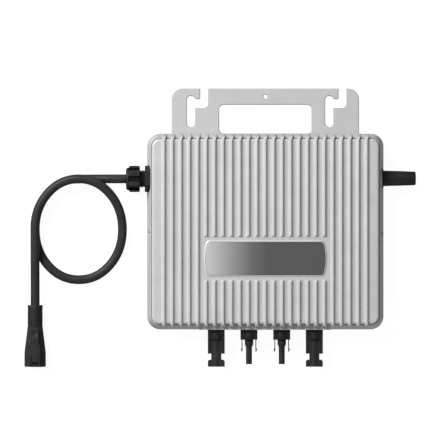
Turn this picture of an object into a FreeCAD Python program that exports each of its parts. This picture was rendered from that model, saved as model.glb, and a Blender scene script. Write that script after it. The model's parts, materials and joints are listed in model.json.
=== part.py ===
import FreeCAD, Part
import math
import os
from FreeCAD import Vector

# Two-input grid-tie micro inverter, lying on its back. Millimetres.
# +Z leaves the finned front face, +Y points to the hanger, and the origin is the middle of the flat back.

X_AXIS = Vector(1, 0, 0)
Y_AXIS = Vector(0, 1, 0)
Z_AXIS = Vector(0, 0, 1)
SLIP = 0.02                      # radial room of pieces that are pressed or glued together
RUNNING = 0.06                   # radial room of a pin that turns

# ---- casing -------------------------------------------------------------------------------------
BODY_X = 118.45                  # half of the casing's width
BODY_Y = 98.15                   # half of its height, without the hanger
CORNER = 13.0
PLATE_T = 2.5                    # back plate with the hanger
EDGE_IN = 0.6                    # the hanger's bevelled front edges, across the front face
EDGE_DOWN = 1.3                  # and down the side
GASKET_T = 0.8
RIM_Z = PLATE_T + GASKET_T
RIM_TOP = RIM_Z + 2.2            # the walls lean inwards from here
SHOULDER_Z = 27.6
FACE_Z = 30.9
FIN_TOP = 33.0
LEAN_X = 4.1                     # how far the side walls lean in up to the shoulder
LEAN_Y = 4.7
STEP = 0.95                      # ledge under the raised front face
GROOVE_LIP = 0.35                # the ledge carries a fine groove behind this lip
GROOVE_DEPTH = 0.7
FACE_EDGE = 2.3                  # rounding of the raised face's edge
WALL = 2.8
CAVITY_TOP = 26.6
AXIS_Z = 14.0                    # height of every connector's axis

FIN_COUNT = 25
FIN_PITCH = 8.425
FIN_BASE = 1.9                   # half widths
FIN_TIP = 0.62
FIN_KNEE = 1.5                   # half width where the sides would meet the face without their curve
FIN_SPREAD = 3.5                 # half width of the curved roots
FIN_ROOT_ROUND = 2.3
FIN_TIP_ROUND = 0.42
FIN_END_ROUND = 5.0
FIN_LEAN = 3.3                   # how far the fins' ends lean in over their height

BADGE_Y = -27.0
BADGE_X_HALF = 59.7
BADGE_Y_HALF = 16.45
BADGE_SIDE_ARC = 55.4
BADGE_T = 0.8
BADGE_GLUE_T = 0.2
BADGE_RECESS = 0.8
BADGE_GAP = 0.25                 # between the badge and the edge of its recess
PLINTH_H = 0.75                  # the recess is in a low plinth with sloping sides
PLINTH_LIP = 0.25
PLINTH_SLOPE = 1.6
CLEARING = (-48.2, -5.6)         # the fins stop short of this band of the face
CLEARING_X = 63.2

PAD_X = 66.5                     # flat pad under the direct-current connectors
PAD_Z = 25.4
PAD_INNER_Y = -91.5

# ---- hanger -------------------------------------------------------------------------------------
HANGER_X = 94.0
HANGER_TOP = 143.45
HANGER_CORNER = 11.0
HOOKS = (-74.65, 64.15)          # middle of each hanging slot
SLOT_R = 4.0
SLOT_TOP = 136.0
SLOT_BOTTOM = 105.0
HOOK_NOSE_X = 9.4                # from the slot's middle to the nose, and to the far side of the way in
ENTRY_X = 17.1
NOSE_Y = 132.6
LEDGE_Y = 124.0
WINDOW = (46.2, 98.35, 127.1)
WINDOW_CORNER = 4.5
LOCK_HOLE = (0.0, 135.45, 2.0)

# ---- cover screws and board posts -----------------------------------------------------------------
SCREW_R = 1.5
SCREW_HEAD_R = 3.0
SCREW_INSET = 6.5
BOSS_R = 4.0
SCREW_XY = [(x, y) for y in (BODY_Y - SCREW_INSET, SCREW_INSET - BODY_Y) for x in (-70.0, 0.0, 70.0)]
SCREW_XY += [(x, 0.0) for x in (SCREW_INSET - BODY_X, BODY_X - SCREW_INSET)]
SCREW_XY += [(sx * 110.0, sy * 89.7) for sx in (-1, 1) for sy in (-1, 1)]
BOARD_Z = 8.0
BOARD_T = 1.6
BOARD_TOP = BOARD_Z + BOARD_T
BOARD_X = (-94.0, 100.0)
BOARD_Y = (-76.0, 82.0)
POST_R = 3.5
TRANSFORMER_XY = [(-34.0, -32.0), (42.0, -32.0)]
TRANSFORMER_H = 16.4
POST_XY = [(-88.0, -70.0), (94.0, -70.0), (-88.0, 76.0), (94.0, 76.0), (4.0, 4.0), (4.0, 76.0)]

# ---- cable gland, on an axis along -X ---------------------------------------------------------------
GLAND_Y = 52.6
GLAND_SEAT = -114.95
GLAND_FLAT = 11.4                # half of the width across flats
GLAND_FLANGE = 5.6
THREAD_R = 8.9
THREAD_PITCH = 1.6
THREAD_DEPTH = 0.95
NUT_START = 10.6
NUT_HEX_END = 21.4
NUT_END = 24.4
GLAND_INNER_X = -109.5           # inside face of the wall at the gland
CABLE_R = 4.5
CABLE_INNER_END = -98.0

# ---- antenna, on an axis along +X -------------------------------------------------------------------
ANTENNA_Y = 53.1
ANTENNA_SEAT = 116.7
ANTENNA_END = 150.45
ANTENNA_INNER_X = 111.0
ANTENNA_BOSS_R = 9.3
ANTENNA_RINGS = (5.1, 6.9, 8.7, 26.7, 28.5, 30.3)
RF_R = 3.1

# ---- direct-current connectors, on axes along -Y ----------------------------------------------------
SHELL_X = (-49.1, 49.0)
NOSE_X = (-16.4, 16.4)
BLOCK_X = 8.45
BLOCK_Z = 7.5
BLOCK_END_Z = 4.8                # the block's front face slopes down to this at its outer end
BLOCK_SLOPE_START = 1.6
BLOCK_LENGTH = 10.1
SHANK_R = 5.9
SHANK_END = -11.6
LOCKNUT_T = 4.0
BORE_R = 3.3
CONTACT_R = 2.0
NOSE_R = 3.05
COLLAR_R = 4.25
NOSE_END = 34.6
O_RING_GROOVE = (16.4, 18.2)       # along the nose
O_RING_ROOT_R = 2.8
SHELL_END = 37.1
NOTCH = (24.1, 30.2)
NECK_R = 5.05
FINGER_OFFSET = 6.9
FINGER_T = 0.9
FINGER_W = 4.0
FINGER_PIVOT = 9.0
FINGER_END = 22.0
BEAD_R = 0.8

# ---- mains cable and its plug ------------------------------------------------------------------------
LOOP = (-186.85, 2.1)            # middle of the loop on the table
LOOP_REACH_X = 43.6
PLUG_X = LOOP[0] - LOOP_REACH_X
PLUG_Y = -73.75
PLUG_Z = 10.8
FLOOR_Z = CABLE_R + 0.1          # height of a cable that lies on the table
PLUG_FLARE = [(21.2, 7.6), (23.6, 7.8, 8.0), (46.8, 10.7, 14.0), (61.2, 10.75, 0.5), (61.7, 10.3)]
PLUG_BORE = 8.4
CORE_BORE = 5.2                  # the plug's inside, from the cable to the contacts
CONTACT_SPOTS = [(3.6 * math.cos(math.radians(a)), 3.6 * math.sin(math.radians(a))) for a in (90, 210, 330)]
LEVER_PIVOT = 40.0
LEVER_PIN_Z = PLUG_Z + 7.15
LEVER_PIN_R = 0.6
LEVER_PIN_HALF = 6.0
LEVER_START = 22.2
LEVER_END = 60.4
LEVER_PAD_R = 4.1                # half widths of the lever's pad, neck and plate
LEVER_NECK = 3.5
LEVER_PLATE = 5.5
# Route of the cable as corner points: out of the gland, down, once round the loop, over itself, to the plug.
ROUTE = [
    (GLAND_SEAT - NUT_END, GLAND_Y, AXIS_Z),
    (-153.0, GLAND_Y, AXIS_Z),
    (-171.5, 52.6, 9.3),
    (-205.6, 52.4, FLOOR_Z),
    (-230.6, 23.4, FLOOR_Z),
    (-230.6, -19.2, FLOOR_Z),
    (-205.2, -48.4, FLOOR_Z),
    (-168.5, -48.4, FLOOR_Z),
    (-143.1, -19.0, 6.4),
    (-143.1, 23.2, 13.4),
    (-168.4, 52.6, 20.2),
    (-205.2, 52.6, 16.4),
    (-230.5, 23.4, 14.6),
    (-230.5, -16.0, 14.6),
    (PLUG_X, -50.0, PLUG_Z),
    (PLUG_X, PLUG_Y, PLUG_Z),
]


# ---- shape helpers -----------------------------------------------------------------------------------
def box(x0, x1, y0, y1, z0, z1):
    return Part.makeBox(x1 - x0, y1 - y0, z1 - z0, Vector(x0, y0, z0))


def rod(start, direction, radius, length):
    return Part.makeCylinder(radius, length, Vector(*start), Vector(direction))


def fused(shapes):
    whole = shapes[0]
    if len(shapes) > 1:
        whole = shapes[0].fuse(shapes[1:])
    return whole.removeSplitter()


def group(shapes):
    """Separate solids that share one node."""
    return Part.makeCompound([solid for shape in shapes for solid in shape.Solids])


def corner_arc(before, corner, after, radius):
    """Both tangent points of a rounded corner, and the arc's middle."""
    a = (before - corner).normalize()
    b = (after - corner).normalize()
    half = a.getAngle(b) / 2
    reach = radius / math.tan(half)
    centre = corner + (a + b).normalize() * (radius / math.sin(half))
    middle = centre + (corner - centre).normalize() * radius
    return corner + a * reach, middle, corner + b * reach


def rounded_wire(points, place):
    """A closed outline. Each point is (u, v) or (u, v, corner radius); place turns (u, v) into a Vector."""
    spots = [place(p[0], p[1]) for p in points]
    radii = [p[2] if len(p) > 2 else 0 for p in points]
    ends = []
    for i, spot in enumerate(spots):
        if radii[i]:
            ends.append(corner_arc(spots[i - 1], spot, spots[(i + 1) % len(spots)], radii[i]))
        else:
            ends.append((spot, None, spot))
    edges = []
    for i, (start, middle, end) in enumerate(ends):
        if middle is not None:
            edges.append(Part.Arc(start, middle, end).toShape())
        following = ends[(i + 1) % len(ends)][0]
        if end.distanceToPoint(following) > 1e-6:
            edges.append(Part.makeLine(end, following))
    return Part.Wire(edges)


def slab(points, z0, z1):
    """An outline in the XY plane, extruded from z0 to z1."""
    wire = rounded_wire(points, lambda u, v: Vector(u, v, z0))
    return Part.Face(wire).extrude(Vector(0, 0, z1 - z0))


def rectangle(x_half, y_half, radius):
    return [(-x_half, -y_half, radius), (x_half, -y_half, radius),
            (x_half, y_half, radius), (-x_half, y_half, radius)]


def block(x_half, y_half, radius, z0, z1):
    return slab(rectangle(x_half, y_half, radius), z0, z1)


def mirrored(middle_x, start_y, edge):
    """A symmetrical outline. Its half's points are (distance from the middle, distance along -Y, radius)."""
    left, right = [[(middle_x + side * p[0], start_y - p[1]) + p[2:] for p in edge] for side in (-1, 1)]
    return left + right[::-1]


def turned(points, start, direction):
    """A solid of revolution. Each point is (distance along the axis, radius, corner radius)."""
    axis = Vector(direction)
    side = -Z_AXIS if abs(axis.z) < 0.5 else X_AXIS
    origin = Vector(*start)
    wire = rounded_wire(points, lambda u, v: origin + axis * u + side * v)
    return Part.Face(wire).revolve(origin, axis, 360)


def ring(start, direction, inner, outer, length):
    profile = [(0, inner), (length, inner), (length, outer), (0, outer)]
    return turned(profile, start, direction)


def hexagon(start, direction, flat, length, tip):
    """A six-sided prism with two corners along tip, and flat as half of its width across flats."""
    axis = Vector(direction)
    side = Vector(tip)
    other = axis.cross(side)
    origin = Vector(*start)
    reach = flat / math.cos(math.pi / 6)
    spots = []
    for k in range(7):
        angle = k * math.pi / 3
        spots.append(origin + side * (reach * math.cos(angle)) + other * (reach * math.sin(angle)))
    return Part.Face(Part.makePolygon(spots)).extrude(axis * length)


def around(shape, start, direction, count):
    """Copies of a shape, evenly spaced about an axis."""
    copies = []
    for k in range(count):
        copy = shape.copy()
        copy.rotate(Vector(*start), Vector(direction), 360.0 * k / count)
        copies.append(copy)
    return copies


def rounded_path(route):
    """Straight runs joined by tangent arcs, each as large as its two runs allow. Prints the radii."""
    points = [Vector(*p) for p in route]
    edges = []
    radii = []
    last = points[0]
    for before, corner, after in zip(points, points[1:], points[2:]):
        turn = (corner - before).getAngle(after - corner)
        shorter = min(corner.distanceToPoint(before), after.distanceToPoint(corner))
        radius = 0.45 * shorter / math.tan(turn / 2)
        start, middle, end = corner_arc(before, corner, after, radius)
        edges.append(Part.makeLine(last, start))
        edges.append(Part.Arc(start, middle, end).toShape())
        last = end
        radii.append(round(radius, 1))
    edges.append(Part.makeLine(last, points[-1]))
    print("radii", radii)
    return Part.Wire(edges)


def swept(route, radius):
    """A round tube along a route. Prints how its volume compares with section times length."""
    path = rounded_path(route)
    start = Vector(*route[0])
    circle = Part.Wire(Part.makeCircle(radius, start, Vector(*route[1]) - start))
    tube = path.makePipeShell([circle], True, False)
    print("length", round(path.Length, 1), "volume ratio", tube.Volume / (math.pi * radius**2 * path.Length))
    return tube


# ---- casing ------------------------------------------------------------------------------------------
def tapered_block(low, high):
    """A rounded block between two levels, each given as (half width, half height, corner radius, z)."""
    wires = []
    for x_half, y_half, radius, z in (low, high):
        wires.append(rounded_wire(rectangle(x_half, y_half, radius), lambda u, v, z=z: Vector(u, v, z)))
    return Part.makeLoft(wires, True, True)


def leaning_block(inset, bottom, top):
    """A rounded block whose sides follow the casing's leaning walls, inset by a wall's thickness."""
    radius = CORNER - inset
    return tapered_block((BODY_X - inset, BODY_Y - inset, radius, bottom),
                         (BODY_X - inset - LEAN_X, BODY_Y - inset - LEAN_Y, radius - LEAN_X, top))


def face_block(inset, z0, z1):
    """A rounded block with the outline that the walls have at the shoulder, less an inset."""
    return block(BODY_X - LEAN_X - inset, BODY_Y - LEAN_Y - inset, CORNER - LEAN_X - inset, z0, z1)


def extruded_fin(x, profile):
    wire = rounded_wire(profile, lambda u, v: Vector(x + u, -BODY_Y, v))
    return Part.Face(wire).extrude(Vector(0, 2 * BODY_Y, 0))


def fin(x):
    """One fin over the whole height of the casing, with a stem that reaches down into the walls."""
    return extruded_fin(x, [
        (-FIN_BASE, RIM_TOP), (FIN_BASE, RIM_TOP), (FIN_BASE, FACE_Z - 0.3),
        (FIN_TIP, FIN_TOP, FIN_TIP_ROUND), (-FIN_TIP, FIN_TOP, FIN_TIP_ROUND), (-FIN_BASE, FACE_Z - 0.3),
    ])


def fin_root(x):
    """The hollow curves that lead from the face up to the fin's sides."""
    low = FACE_Z - 0.4
    knee = FACE_Z + 0.12
    return extruded_fin(x, [
        (-FIN_SPREAD, low), (FIN_SPREAD, low), (FIN_SPREAD, FACE_Z + 0.02), (FIN_KNEE, knee, FIN_ROOT_ROUND),
        (FIN_TIP, FIN_TOP, FIN_TIP_ROUND), (-FIN_TIP, FIN_TOP, FIN_TIP_ROUND),
        (-FIN_KNEE, knee, FIN_ROOT_ROUND), (-FIN_SPREAD, FACE_Z + 0.02),
    ])


def rounded_top(block_to_round, radius):
    """Rounds the upper edges of a block that ends at the fins' tops."""
    upper = [e for e in block_to_round.Edges if e.BoundBox.ZMin > FIN_TOP - 0.01]
    return block_to_round.makeFillet(radius, upper)


def fins():
    foot = 0.15
    head = foot + FIN_LEAN
    stems_end = tapered_block((BODY_X - foot, BODY_Y - foot, CORNER, RIM_TOP),
                              (BODY_X - head, BODY_Y - head, CORNER - FIN_LEAN, FIN_TOP))
    stems_end = rounded_top(stems_end, FIN_END_ROUND)
    roots_end = rounded_top(face_block(STEP + FACE_EDGE, FACE_Z - 2, FIN_TOP), 2.0)
    middle = (FIN_COUNT - 1) / 2
    places = [FIN_PITCH * (k - middle) for k in range(FIN_COUNT)]
    row = [fin(x).common(stems_end) for x in places] + [fin_root(x).common(roots_end) for x in places]
    ramp = FIN_TOP - FACE_Z + 0.5
    low, high = CLEARING
    section = [(low, FACE_Z), (low - ramp * 0.8, FACE_Z + ramp), (high + ramp * 0.8, FACE_Z + ramp),
               (high, FACE_Z)]
    wire = rounded_wire(section, lambda u, v: Vector(-CLEARING_X, u, v))
    clearing = Part.Face(wire).extrude(Vector(2 * CLEARING_X, 0, 0))
    return [f.cut(clearing) for f in row]


def badge_outline(grow, z0, z1):
    """The name badge's barrel shape: straight long sides and bulging ends."""
    low = BADGE_Y - BADGE_Y_HALF - grow
    high = BADGE_Y + BADGE_Y_HALF + grow
    halves = []
    for side in (-1, 1):
        ends = sorted((0, side * (BADGE_X_HALF + grow)))
        centre = Vector(side * (BADGE_X_HALF - BADGE_SIDE_ARC), BADGE_Y, z0)
        bulge = Part.makeCylinder(BADGE_SIDE_ARC + grow, z1 - z0, centre)
        halves.append(box(ends[0], ends[1], low, high, z0, z1).common(bulge))
    whole = fused(halves)
    upright = [e for e in whole.Edges
               if abs(e.BoundBox.ZLength - (z1 - z0)) < 1e-6 and e.BoundBox.XLength < 1e-6]
    return whole.makeFillet(3.0 + grow, upright)


def plinth():
    """The raised bed of the badge."""
    def wire(grow, z):
        faces = badge_outline(BADGE_GAP + PLINTH_LIP + grow, z, z + 1).Faces
        return [f for f in faces if f.BoundBox.ZMax < z + 0.01][0].OuterWire
    return Part.makeLoft([wire(PLINTH_SLOPE, FACE_Z - 0.01), wire(0, FACE_Z + PLINTH_H)], True, True)


def cavity():
    """The casing's inside, less the screw bosses, the board posts and the thick walls at the connectors."""
    inside = leaning_block(WALL, RIM_TOP, CAVITY_TOP)
    inside = inside.fuse(block(BODY_X - WALL, BODY_Y - WALL, CORNER - WALL, RIM_Z, RIM_TOP))
    solid = [rod((x, y, 0), Z_AXIS, BOSS_R, FACE_Z) for x, y in SCREW_XY]
    solid += [rod((x, y, BOARD_TOP), Z_AXIS, POST_R, FACE_Z) for x, y in POST_XY]
    solid.append(box(-PAD_X, PAD_X, -BODY_Y, PAD_INNER_Y, 0, FACE_Z))
    solid.append(box(-BODY_X, GLAND_INNER_X, GLAND_Y - 15, GLAND_Y + 15, 0, FACE_Z))
    solid.append(box(ANTENNA_INNER_X, BODY_X, ANTENNA_Y - 11, ANTENNA_Y + 11, 0, FACE_Z))
    return inside.cut(solid)


def gland_spot_face():
    """The round recess in the side wall that the gland's flange sits in."""
    return rod((GLAND_SEAT, GLAND_Y, AXIS_Z), -X_AXIS, 13.7, 20)


def casing_holes():
    """Everything that passes into or through the casing's walls."""
    tools = [rod((x, y, RIM_Z - 1), Z_AXIS, SCREW_R, 14) for x, y in SCREW_XY]
    tools += [rod((x, y, BOARD_TOP - 1), Z_AXIS, SCREW_R, 9) for x, y in POST_XY]
    tools.append(gland_spot_face())
    tools.append(rod((GLAND_SEAT - 1, GLAND_Y, AXIS_Z), X_AXIS, 8.0 + SLIP, 12))
    tools.append(rod((ANTENNA_SEAT, ANTENNA_Y, AXIS_Z), X_AXIS, 10.8, 20))
    tools.append(rod((ANTENNA_SEAT + 1, ANTENNA_Y, AXIS_Z), -X_AXIS, RF_R + SLIP, 12))
    for x in SHELL_X + NOSE_X:
        tools.append(rod((x, -BODY_Y - 1, AXIS_Z), Y_AXIS, SHANK_R + SLIP, 12))
    return tools


def side_notches():
    """A shallow upright groove half way up each leaning side wall."""
    skin = leaning_block(0, RIM_TOP, SHOULDER_Z).cut(leaning_block(0.9, RIM_TOP, SHOULDER_Z))
    return [skin.common(box(x0, x1, -4.0, -0.4, RIM_TOP + 2, SHOULDER_Z - 1.2))
            for x0, x1 in ((-BODY_X - 1, -105), (105, BODY_X + 1))]


def ledge_groove():
    """The fine groove that runs round the raised front face."""
    bottom = SHOULDER_Z - GROOVE_DEPTH
    return face_block(GROOVE_LIP, bottom, SHOULDER_Z + 1).cut(face_block(STEP, bottom - 1, SHOULDER_Z + 1))


def housing():
    rim = block(BODY_X, BODY_Y, CORNER, RIM_Z, RIM_TOP)
    walls = leaning_block(0, RIM_TOP, SHOULDER_Z).cut(ledge_groove())
    face = face_block(STEP, SHOULDER_Z - 1, FACE_Z)
    front_edges = [e for e in face.Edges if e.BoundBox.ZMin > FACE_Z - 0.01]
    face = face.makeFillet(FACE_EDGE, front_edges)
    pad = box(-PAD_X, PAD_X, -BODY_Y, -BODY_Y + 8, RIM_Z, PAD_Z)
    antenna_boss = rod((ANTENNA_INNER_X + 1, ANTENNA_Y, AXIS_Z), X_AXIS, ANTENNA_BOSS_R,
                       ANTENNA_SEAT - ANTENNA_INNER_X - 1)
    whole = fused([rim, walls, face, pad, antenna_boss, plinth()] + fins())
    tools = [cavity(), badge_outline(BADGE_GAP, FACE_Z + PLINTH_H - BADGE_RECESS, FIN_TOP)]
    return whole.cut(tools + side_notches() + casing_holes())


def hook_cut(x):
    """One hanging slot with its way in from the top edge, past the hook's nose."""
    nose_x = x + HOOK_NOSE_X
    entry_x = x + ENTRY_X
    slot = slab([(x - SLOT_R, SLOT_BOTTOM, SLOT_R), (x + SLOT_R, SLOT_BOTTOM, SLOT_R),
                 (x + SLOT_R, SLOT_TOP, SLOT_R), (x - SLOT_R, SLOT_TOP, SLOT_R)], -1, PLATE_T + 1)
    way_in = slab([(x, LEDGE_Y), (entry_x, LEDGE_Y, 4.8), (entry_x, HANGER_TOP + 1),
                   (nose_x, HANGER_TOP + 1), (nose_x, NOSE_Y, 1.5), (x + 4.6, NOSE_Y, 1.0),
                   (x + 2.2, SLOT_TOP - 0.9, 1.5), (x, SLOT_TOP - 1)], -1, PLATE_T + 1)
    return slot.fuse(way_in)


def back_plate():
    cover = block(BODY_X - 0.9, BODY_Y - 0.9, CORNER - 0.9, 0, PLATE_T)
    hanger = slab([(-HANGER_X, 0), (HANGER_X, 0), (HANGER_X, HANGER_TOP, HANGER_CORNER),
                   (-HANGER_X, HANGER_TOP, HANGER_CORNER)], 0, PLATE_T)
    x_half, low, high = WINDOW
    window = slab([(-x_half, low, WINDOW_CORNER), (x_half, low, WINDOW_CORNER), (x_half, high, WINDOW_CORNER),
                   (-x_half, high, WINDOW_CORNER)], -1, PLATE_T + 1)
    hole_x, hole_y, hole_r = LOCK_HOLE
    tools = [window, rod((hole_x, hole_y, -1), Z_AXIS, hole_r, PLATE_T + 2)] + [hook_cut(x) for x in HOOKS]
    plate = fused([cover, hanger]).cut(tools)
    exposed = [e for e in plate.Edges
               if e.BoundBox.ZMin > PLATE_T - 0.01 and e.BoundBox.YMin > BODY_Y - 0.8 and e.Length > 0.5]
    plate = plate.makeChamfer(EDGE_IN, EDGE_DOWN, exposed)
    for x, y in SCREW_XY:
        plate = plate.cut([rod((x, y, -1), Z_AXIS, SCREW_R + 0.2, PLATE_T + 2),
                           Part.makeCone(SCREW_HEAD_R + 0.1, SCREW_R + 0.1, 1.6, Vector(x, y, 0))])
    return plate


def gasket():
    def layer(grow, shrink):
        return block(BODY_X - grow, BODY_Y - grow, CORNER - grow, PLATE_T - shrink, RIM_Z + shrink)
    lobes = [rod((x, y, PLATE_T), Z_AXIS, BOSS_R, GASKET_T) for x, y in SCREW_XY]
    band = layer(0.9, 0).cut(layer(WALL - 0.2, 1))
    tools = [rod((x, y, 0), Z_AXIS, SCREW_R + 0.2, 6) for x, y in SCREW_XY] + [gland_spot_face()]
    return fused([band] + lobes).common(layer(0.9, 0)).cut(tools)


def cover_screws():
    """Countersunk screws with a hexagon socket, flush with the back."""
    shank = SCREW_R - SLIP
    profile = [(0, 0), (0, SCREW_HEAD_R), (1.5, shank), (12.0, shank), (12.6, 0.9), (12.6, 0)]
    screws = []
    for x, y in SCREW_XY:
        socket = hexagon((x, y, -1), Z_AXIS, 1.0, 2.2, X_AXIS)
        screws.append(turned(profile, (x, y, 0), Z_AXIS).cut(socket))
    return group(screws)


def badge():
    z0 = FACE_Z + PLINTH_H - BADGE_RECESS + BADGE_GLUE_T
    plate = badge_outline(0, z0, z0 + BADGE_T)
    return plate.makeChamfer(0.25, [e for e in plate.Edges if e.BoundBox.ZMin > z0 + BADGE_T - 0.01])


def badge_glue():
    z0 = FACE_Z + PLINTH_H - BADGE_RECESS
    return badge_outline(-1.0, z0, z0 + BADGE_GLUE_T)


# ---- cable gland -------------------------------------------------------------------------------------
def gland_spot(along):
    return (GLAND_SEAT - along, GLAND_Y, AXIS_Z)


def external_thread(start, direction, radius, depth, pitch, length):
    """A helical ridge that stands on a core of radius minus depth."""
    turns = length - pitch
    helix = Part.makeHelix(pitch, turns, radius - depth)
    low = radius - depth - 0.2
    width = pitch * 0.42
    spots = [Vector(low, 0, -width), Vector(radius, 0, -0.12), Vector(radius, 0, 0.12), Vector(low, 0, width)]
    section = Part.Wire(Part.makePolygon(spots + spots[:1]).Edges)
    ridge = Part.Wire(helix).makePipeShell([section], True, True)
    ridge.translate(Vector(0, 0, pitch / 2))
    turn = FreeCAD.Rotation(Z_AXIS, Vector(direction))
    ridge.Placement = FreeCAD.Placement(Vector(*start), turn).multiply(ridge.Placement)
    return ridge


def gland_body():
    """Hexagon flange, threaded tube, eight claws at the outer end, and the shank through the wall."""
    core = THREAD_R - THREAD_DEPTH
    shank = -13.0
    flange = hexagon(gland_spot(0), -X_AXIS, GLAND_FLAT, GLAND_FLANGE, Y_AXIS)
    cone = turned([(-1, 0), (-1, 11.6), (0, 11.9), (2.0, 13.6), (GLAND_FLANGE + 1, 13.6),
                   (GLAND_FLANGE + 1, 0)], gland_spot(0), -X_AXIS)
    outer = [(shank, 0), (shank, 7.6), (shank + 0.4, 8.0), (1, 8.0), (1, core), (17.0, core), (20.5, 7.35),
             (20.5, 0)]
    bore = [(shank - 1, 0), (shank - 1, 5.0), (7.0, 5.0), (7.0, 7.0), (21.5, 7.0), (21.5, 0)]
    whole = fused([flange.common(cone), turned(outer, gland_spot(0), -X_AXIS)])
    ridge = external_thread(gland_spot(GLAND_FLANGE), -X_AXIS, THREAD_R, THREAD_DEPTH, THREAD_PITCH, 10.6)
    whole = whole.fuse(ridge)
    slot = box(GLAND_SEAT - 22, GLAND_SEAT - 16.9, GLAND_Y - 0.6, GLAND_Y + 0.6, AXIS_Z, AXIS_Z + 10)
    groove = ring(gland_spot(-0.01), -X_AXIS, 9.4, 11.1, 1.01)
    return whole.cut([turned(bore, gland_spot(0), -X_AXIS), groove] + around(slot, gland_spot(0), X_AXIS, 8))


def gland_dome_nut():
    """Hexagon dome nut with a pocket in each flat and a rounded collar round the cable."""
    length = NUT_HEX_END - NUT_START
    hexagon_part = hexagon(gland_spot(NUT_START), -X_AXIS, GLAND_FLAT, length, Y_AXIS)
    tips = turned([(0, 0), (0, 12.2), (0.9, 13.3), (length - 1.0, 13.3), (length, 12.2), (length, 0)],
                  gland_spot(NUT_START), -X_AXIS)
    collar = turned([(length - 1, 0), (length - 1, 11.3), (NUT_END - NUT_START, 11.3, 2.2),
                     (NUT_END - NUT_START, 0)], gland_spot(NUT_START), -X_AXIS)
    inside = turned([(NUT_START - 1, 0), (NUT_START - 1, THREAD_R + 0.15), (17.8, THREAD_R + 0.15),
                     (20.6, 8.0), (22.4, 8.0), (22.4, CABLE_R + 0.45), (NUT_END + 1, CABLE_R + 0.45),
                     (NUT_END + 1, 0)], gland_spot(0), -X_AXIS)
    pocket = box(GLAND_SEAT - NUT_HEX_END - 0.6, GLAND_SEAT - NUT_START + 1, GLAND_Y - 2.85, GLAND_Y + 2.85,
                 AXIS_Z + GLAND_FLAT - 1.75, AXIS_Z + GLAND_FLAT + 2)
    whole = fused([hexagon_part.common(tips), collar])
    return whole.cut([inside] + around(pocket, gland_spot(0), X_AXIS, 6))


def gland_clamp_ring():
    return ring(gland_spot(20.75), -X_AXIS, CABLE_R + 0.4, 7.6, 1.5)


def gland_seal():
    profile = [(7.1, CABLE_R + SLIP), (7.1, 6.9), (18.6, 6.9), (20.3, 6.3), (20.3, CABLE_R + SLIP)]
    return turned(profile, gland_spot(0), -X_AXIS)


def gland_flange_seal():
    return ring(gland_spot(0), -X_AXIS, 9.45, 11.05, 0.98)


def gland_locknut():
    seat = (GLAND_INNER_X, GLAND_Y, AXIS_Z)
    nut = hexagon(seat, X_AXIS, 11.0, 4.5, Y_AXIS)
    rounding = turned([(0, 0), (0, 12.3), (4.0, 12.3), (4.5, 11.4), (4.5, 0)], seat, X_AXIS)
    return nut.common(rounding).cut(rod((GLAND_INNER_X - 1, GLAND_Y, AXIS_Z), X_AXIS, 8.0 + SLIP, 8))


# ---- antenna -----------------------------------------------------------------------------------------
def antenna_spot(along):
    return (ANTENNA_SEAT + along, ANTENNA_Y, AXIS_Z)


def antenna_cover():
    """Tapered stub with a flared foot and a hollow core."""
    end = ANTENNA_END - ANTENNA_SEAT
    side = Vector(0, 1, 0)
    spot = Vector(*antenna_spot(0))

    def at(along, radius):
        return spot + X_AXIS * along + side * radius
    foot = Part.Arc(at(0.1, 9.8), at(0.95, 8.55), at(2.7, 7.8)).toShape()
    nose = Part.Arc(at(end - 1.8, 6.95), at(end - 0.5, 6.45), at(end, 5.2)).toShape()
    edges = [Part.makeLine(at(0.1, 4.8), at(0.1, 9.8)), foot,
             Part.makeLine(at(2.7, 7.8), at(end - 1.8, 6.95)), nose,
             Part.makeLine(at(end, 5.2), at(end, 0)), Part.makeLine(at(end, 0), at(end - 2, 0)),
             Part.makeLine(at(end - 2, 0), at(end - 2, 4.8)), Part.makeLine(at(end - 2, 4.8), at(0.1, 4.8))]
    stub = Part.Face(Part.Wire(edges)).revolve(spot, X_AXIS, 360)
    bands = [ring(antenna_spot(s), X_AXIS, 7.8 - 0.0272 * s - 0.12, 9, 0.4) for s in ANTENNA_RINGS]
    seat = ring(antenna_spot(-0.1), X_AXIS, 5.4, 7.1, 1.1)
    return stub.cut(bands + [seat])


def antenna_seal():
    return ring(antenna_spot(0.02), X_AXIS, 5.5, 7.0, 0.9)


def antenna_insert():
    """Threaded metal insert that screws onto the radio connector."""
    bore = RF_R + RUNNING
    profile = [(2.0, bore), (9.4, bore), (9.4, 1.6), (11.0, 1.6), (11.0, 4.78), (2.0, 4.78)]
    return turned(profile, antenna_spot(0), X_AXIS)


def antenna_element():
    """Helical radiator on a short stem."""
    pitch = 1.8
    start = 13.0
    length = 15.0
    radius = 2.6
    helix = Part.Wire(Part.makeHelix(pitch, length, radius))
    circle = Part.Wire(Part.makeCircle(0.4, Vector(radius, 0, 0), Vector(0, 1, 0)))
    coil = helix.makePipeShell([circle], True, True)
    turn = FreeCAD.Rotation(Z_AXIS, X_AXIS)
    coil.Placement = FreeCAD.Placement(Vector(*antenna_spot(start)), turn).multiply(coil.Placement)
    stem = turned([(9.8, 0), (9.8, 1.5), (11.6, 1.5), (11.6, 0)], antenna_spot(0), X_AXIS)
    foot = rod(antenna_spot(11.5), X_AXIS, 3.0, 1.7)
    return group([stem.fuse(foot).fuse(coil)])


def rf_connector():
    profile = [(-15.0, 0), (-15.0, 1.2), (-11.5, 1.2), (-11.5, RF_R), (9.2, RF_R, 0.4), (9.2, 2.3),
               (3.0, 2.3), (3.0, 0)]
    centre = rod(antenna_spot(2.9), X_AXIS, 0.5, 5.5)
    return fused([turned(profile, antenna_spot(0), X_AXIS), centre])


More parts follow.
